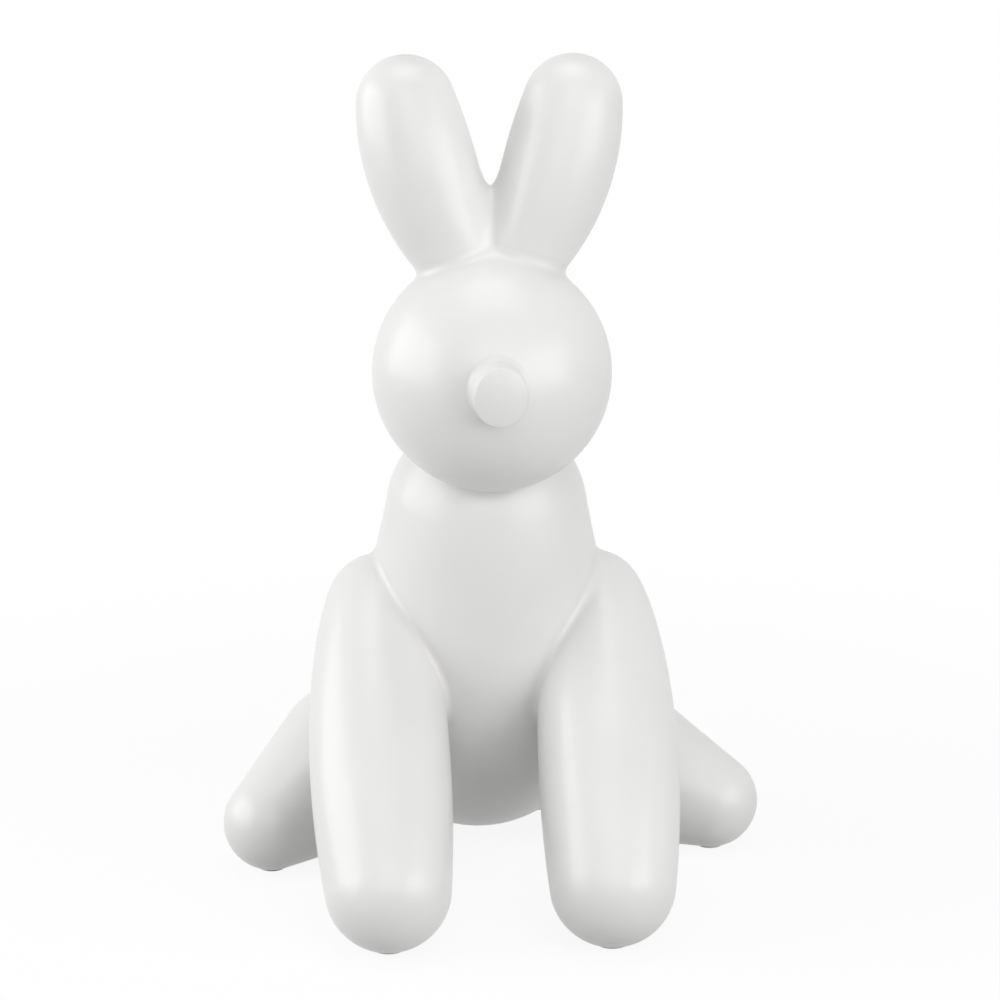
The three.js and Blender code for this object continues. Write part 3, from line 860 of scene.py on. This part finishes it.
def add_floor(studio):
    """A pale floor that looks white and keeps a light shadow."""
    mesh = bmesh.new()
    bmesh.ops.create_grid(mesh, x_segments=1, y_segments=1, size=FLOOR_HALF_SIDE)
    data = bpy.data.meshes.new("floor")
    mesh.to_mesh(data)
    mesh.free()
    floor = bpy.data.objects.new("floor", data)
    bpy.context.scene.collection.objects.link(floor)
    material = bpy.data.materials.new("floor")
    material.use_nodes = True
    tree = material.node_tree
    tree.nodes.clear()
    seen = seen_directly(tree)
    tint = tree.nodes.new("ShaderNodeMix")
    tint.data_type = "RGBA"
    tint.inputs["A"].default_value = opaque(studio.floor)
    tint.inputs["B"].default_value = (1, 1, 1, 1)
    matte = tree.nodes.new("ShaderNodeBsdfDiffuse")
    glow = tree.nodes.new("ShaderNodeEmission")
    glow.inputs["Color"].default_value = (1, 1, 1, 1)
    mix = tree.nodes.new("ShaderNodeMixShader")
    place = tree.nodes.new("ShaderNodeTexCoord")
    reach = tree.nodes.new("ShaderNodeVectorMath")
    reach.operation = "LENGTH"
    fade = tree.nodes.new("ShaderNodeMapRange")
    fade.interpolation_type = "SMOOTHSTEP"
    fade.inputs["From Min"].default_value = studio.shadow_start
    fade.inputs["From Max"].default_value = studio.shadow_end
    fade.inputs["To Min"].default_value = studio.floor_glow
    fade.inputs["To Max"].default_value = 1
    glow_share = tree.nodes.new("ShaderNodeMath")
    glow_share.operation = "MULTIPLY"
    output = tree.nodes.new("ShaderNodeOutputMaterial")
    tree.links.new(place.outputs["Object"], reach.inputs[0])
    tree.links.new(reach.outputs["Value"], fade.inputs["Value"])
    tree.links.new(fade.outputs["Result"], glow_share.inputs[0])
    tree.links.new(seen, glow_share.inputs[1])
    tree.links.new(seen, tint.inputs["Factor"])
    tree.links.new(tint.outputs["Result"], matte.inputs["Color"])
    tree.links.new(glow_share.outputs["Value"], mix.inputs["Fac"])
    tree.links.new(matte.outputs["BSDF"], mix.inputs[1])
    tree.links.new(glow.outputs["Emission"], mix.inputs[2])
    tree.links.new(mix.outputs["Shader"], output.inputs["Surface"])
    data.materials.append(material)


def add_room(studio):
    """Even light from all round, with a white background where it is seen."""
    world = bpy.data.worlds.new("room")
    world.use_nodes = True
    tree = world.node_tree
    background = tree.nodes["Background"]
    background.inputs["Color"].default_value = (1, 1, 1, 1)
    level = tree.nodes.new("ShaderNodeMapRange")
    level.inputs["To Min"].default_value = studio.room
    level.inputs["To Max"].default_value = 1
    tree.links.new(seen_directly(tree), level.inputs["Value"])
    tree.links.new(level.outputs["Result"], background.inputs["Strength"])
    bpy.context.scene.world = world


def add_softbox(name, turn, rise, width, height, power):
    """A soft lamp that faces the ornament, turned to the right of the front and raised, in degrees."""
    low, high = cad_box
    lamp = bpy.data.lights.new(name, "AREA")
    lamp.shape = "RECTANGLE"
    lamp.size = width
    lamp.size_y = height
    lamp.energy = power
    turn, rise = math.radians(turn), math.radians(rise)
    out = Vector((math.sin(turn) * math.cos(rise), -math.cos(turn) * math.cos(rise), math.sin(rise)))
    softbox = bpy.data.objects.new(name, lamp)
    softbox.location = (low + high) / 2 + out * SOFTBOX_DISTANCE
    softbox.rotation_euler = (-out).to_track_quat("-Z", "Y").to_euler()
    softbox.visible_camera = False
    bpy.context.scene.collection.objects.link(softbox)


def add_camera(studio):
    view = bpy.data.cameras.new("camera")
    view.sensor_width = SENSOR_WIDTH
    view.lens = studio.camera_lens
    view.clip_end = CAMERA_REACH
    camera = bpy.data.objects.new("camera", view)
    camera.location = placed(studio.camera_spot)
    camera.rotation_euler = Euler((math.pi / 2 - studio.camera_tilt, 0, -studio.camera_turn))
    bpy.context.scene.collection.objects.link(camera)
    bpy.context.scene.camera = camera


# Operators, one for each piece or group of like pieces


class ORNAMENT_OT_torso(bpy.types.Operator):
    """Make the torso's casting"""

    bl_idname = "ornament.torso"
    bl_label = "Torso"

    def execute(self, context):
        sizes = context.scene.ornament_sizes
        torso = torso_lobe(sizes)
        mesh = lobe_mesh(torso)
        grind_flat(mesh)
        neighbours = [head_ball(), tail_lobe(sizes)]
        for name, side in SIDES.items():
            neighbours.append(front_leg_lobe(sizes, side, name))
            neighbours.append(hind_leg_lobe(sizes, side, name))
        add_casting("torso", mesh, torso, neighbours)
        return {"FINISHED"}


class ORNAMENT_OT_head(bpy.types.Operator):
    """Make the head's casting, with its filler at the neck"""

    bl_idname = "ornament.head"
    bl_label = "Head"

    def execute(self, context):
        sizes = context.scene.ornament_sizes
        head = head_ball()
        torso = torso_lobe(sizes)
        mesh = bmesh.new()
        steps = around(head.radius, SPACING)
        bmesh.ops.create_uvsphere(
            mesh,
            u_segments=steps,
            v_segments=steps // 2,
            radius=head.radius,
            matrix=Matrix.Translation(head.centre) @ forwards(sizes.nose_seat_turn, sizes.nose_seat_rise),
        )
        fillet(mesh, head, torso, sizes.neck_fillet)
        seat(mesh, torso)
        ears = [ear_lobe(sizes, side) for side in SIDES.values()]
        add_casting("head", mesh, head, [torso, *ears])
        return {"FINISHED"}


class ORNAMENT_OT_nose(bpy.types.Operator):
    """Make the nose's casting, with its filler on the head"""

    bl_idname = "ornament.nose"
    bl_label = "Nose"

    def execute(self, context):
        sizes = context.scene.ornament_sizes
        head = head_ball()
        place = nose_place(sizes)
        half_width = sizes.nose_half_width
        half_height = sizes.nose_half_height
        mesh = turned(nose_outline(sizes), around(half_width, FINE_SPACING))
        bmesh.ops.scale(mesh, vec=(1, half_height / half_width, 1), verts=mesh.verts)
        bmesh.ops.transform(mesh, matrix=place, verts=mesh.verts)
        stub = Stub(place, half_width, half_height)
        fillet(mesh, stub, head, sizes.nose_fillet, FINE_SPACING)
        seat(mesh, head)
        add_casting("nose", mesh, stub, [head])
        return {"FINISHED"}


class ORNAMENT_OT_ears(bpy.types.Operator):
    """Make the two ears' castings, which meet in a web between them"""

    bl_idname = "ornament.ears"
    bl_label = "Ears"

    def execute(self, context):
        sizes = context.scene.ornament_sizes
        head = head_ball()
        for name, side in SIDES.items():
            ear = ear_lobe(sizes, side)
            other = ear_lobe(sizes, -side)
            mesh = lobe_mesh(ear)
            # Strips fine enough for the web's two halves to meet without a slit
            refine(mesh, ear, other, sizes.ear_web / WEB_STRIPS, SPACING)
            fillet(mesh, ear, other, sizes.ear_web)
            fillet(mesh, Pair(ear, other, sizes.ear_web), head, sizes.ear_fillet)
            seat(mesh, head)
            cut(mesh, datum(), (-side, 0, 0))
            add_casting(f"ear_{name}", mesh, ear, [head, other])
        return {"FINISHED"}


class ORNAMENT_OT_front_legs(bpy.types.Operator):
    """Make the front legs' castings, with their filler on the torso"""

    bl_idname = "ornament.front_legs"
    bl_label = "Front Legs"

    def execute(self, context):
        sizes = context.scene.ornament_sizes
        torso = torso_lobe(sizes)
        for name, side in SIDES.items():
            leg = front_leg_lobe(sizes, side, name)
            add_leg(f"front_leg_{name}", leg, torso, sizes.leg_fillet)
        return {"FINISHED"}


class ORNAMENT_OT_hind_legs(bpy.types.Operator):
    """Make the hind legs' castings, with their filler on the torso"""

    bl_idname = "ornament.hind_legs"
    bl_label = "Hind Legs"

    def execute(self, context):
        sizes = context.scene.ornament_sizes
        torso = torso_lobe(sizes)
        for name, side in SIDES.items():
            leg = hind_leg_lobe(sizes, side, name)
            add_leg(f"hind_leg_{name}", leg, torso, sizes.leg_fillet)
        return {"FINISHED"}


class ORNAMENT_OT_tail(bpy.types.Operator):
    """Make the tail's casting, with its filler on the torso"""

    bl_idname = "ornament.tail"
    bl_label = "Tail"

    def execute(self, context):
        sizes = context.scene.ornament_sizes
        torso = torso_lobe(sizes)
        tail = tail_lobe(sizes)
        mesh = lobe_mesh(tail)
        fillet(mesh, tail, torso, sizes.tail_fillet)
        seat(mesh, torso)
        add_casting("tail", mesh, tail, [torso])
        return {"FINISHED"}


class ORNAMENT_OT_pads(bpy.types.Operator):
    """Make the felt pads under the feet and the rump"""

    bl_idname = "ornament.pads"
    bl_label = "Felt Pads"

    def execute(self, context):
        sizes = context.scene.ornament_sizes
        felt = felt_material()
        rim = sizes.pad_rim
        rim_spacing = rim / PAD_RIM_STEPS
        for node in nodes_in("pad_felt"):
            low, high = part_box(node)
            radius = (high.x - low.x) / 2
            outline = [
                (0, 0),
                *arc(radius - rim, rim, rim, -math.pi / 2, 0, rim_spacing),
                *arc(radius - rim, flat_height() - rim, rim, 0, math.pi / 2, rim_spacing),
                (0, flat_height()),
            ]
            mesh = turned(outline, around(radius, FINE_SPACING))
            bmesh.ops.translate(mesh, vec=((low.x + high.x) / 2, (low.y + high.y) / 2, 0), verts=mesh.verts)
            pad = add_piece(f"{node}_felt", mesh, felt, node)
        return {"FINISHED"}


class ORNAMENT_OT_hardware(bpy.types.Operator):
    """Finish the pins, the neck's tube and the vent's plug"""

    bl_idname = "ornament.hardware"
    bl_label = "Pins, Tube and Plug"

    def execute(self, context):
        finishes = {"pin_steel": steel_material(), "plug_rubber": rubber_material()}
        for slot, finish in finishes.items():
            for node in nodes_in(slot):
                materials = frame["nodes"][node].data.materials
                materials.clear()
                materials.append(finish)
        return {"FINISHED"}


class ORNAMENT_OT_studio(bpy.types.Operator):
    """Make the floor, the room's light, the lamps and the camera"""

    bl_idname = "ornament.studio"
    bl_label = "Studio"

    def execute(self, context):
        studio = context.scene.ornament_studio
        add_floor(studio)
        add_room(studio)
        add_softbox("left_softbox", turn=-88, rise=16, width=1.4, height=0.8, power=studio.left_power)
        add_softbox("right_softbox", turn=48, rise=14, width=1, height=0.7, power=studio.right_power)
        add_softbox("top_softbox", turn=0, rise=89, width=0.8, height=0.8, power=studio.top_power)
        add_softbox("front_softbox", turn=0, rise=28, width=0.8, height=0.8, power=studio.front_power)
        add_camera(studio)
        context.scene.view_settings.view_transform = "Standard"
        return {"FINISHED"}


# Panel and registration


class ORNAMENT_PT_panel(bpy.types.Panel):
    """Lists the ornament's pieces"""

    bl_idname = "ORNAMENT_PT_panel"
    bl_label = "Balloon Animal Ornament"
    bl_space_type = "VIEW_3D"
    bl_region_type = "UI"
    bl_category = "Ornament"

    def draw(self, context):
        for operator in OPERATORS:
            self.layout.operator(operator.bl_idname)


GROUPS = (OrnamentSizes, OrnamentFinishes, OrnamentStudio)
OPERATORS = (
    ORNAMENT_OT_torso,
    ORNAMENT_OT_head,
    ORNAMENT_OT_nose,
    ORNAMENT_OT_ears,
    ORNAMENT_OT_front_legs,
    ORNAMENT_OT_hind_legs,
    ORNAMENT_OT_tail,
    ORNAMENT_OT_pads,
    ORNAMENT_OT_hardware,
    ORNAMENT_OT_studio,
)


def register():
    for item in (*GROUPS, *OPERATORS, ORNAMENT_PT_panel):
        bpy.utils.register_class(item)
    bpy.types.Scene.ornament_sizes = PointerProperty(type=OrnamentSizes)
    bpy.types.Scene.ornament_finishes = PointerProperty(type=OrnamentFinishes)
    bpy.types.Scene.ornament_studio = PointerProperty(type=OrnamentStudio)


def unregister():
    del bpy.types.Scene.ornament_studio
    del bpy.types.Scene.ornament_finishes
    del bpy.types.Scene.ornament_sizes
    for item in reversed((*GROUPS, *OPERATORS, ORNAMENT_PT_panel)):
        bpy.utils.unregister_class(item)


def main():
    register()
    bpy.ops.ornament.torso()
    bpy.ops.ornament.head()
    bpy.ops.ornament.nose()
    bpy.ops.ornament.ears()
    bpy.ops.ornament.front_legs()
    bpy.ops.ornament.hind_legs()
    bpy.ops.ornament.tail()
    bpy.ops.ornament.pads()
    bpy.ops.ornament.hardware()
    bpy.ops.ornament.studio()


if __name__ == "__main__":
    main()
